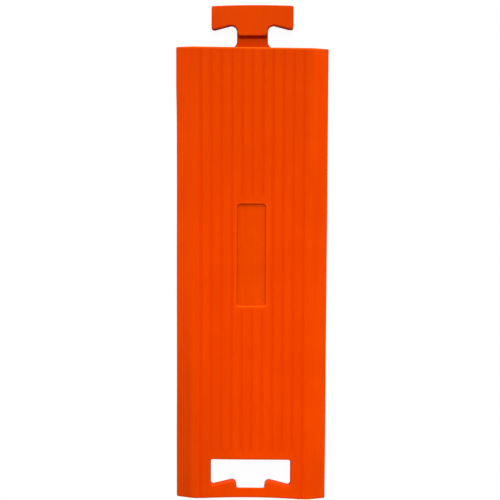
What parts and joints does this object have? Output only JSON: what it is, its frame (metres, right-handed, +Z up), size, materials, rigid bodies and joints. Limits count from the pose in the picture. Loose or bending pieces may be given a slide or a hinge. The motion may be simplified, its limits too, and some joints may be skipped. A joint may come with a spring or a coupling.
{
  "type": "portable rumble strip",
  "caption": "Ribbed, bevelled rubber-like rumble strip module that links end to end with a T tongue and a T socket.",
  "frame": {"origin": "middle of the slab's underside, on the surface that it lies on", "axes": "+Y towards the T tongue, +Z up, X across the module from bevel to bevel"},
  "size_m": [0.3048, 0.997, 0.019],
  "materials": {
    "slab_orange": "satin",
    "neck_orange": "satin",
    "head_orange": "satin"
  },
  "bodies": {
    "strip": {"ribbed_slab": "slab_orange", "tongue_neck": "neck_orange"},
    "tongue": {"tongue_head": "head_orange"}
  },
  "joints": [
    {"name": "tongue_flex", "type": "hinge", "parent": "strip", "child": "tongue", "pos_m": [0, 0.4672, 0.0045], "axis": [1, 0, 0], "range_deg": [-60, 60], "stiffness_Nm_per_rad": 1.8, "deforming": ["tongue_neck"]}
  ]
}
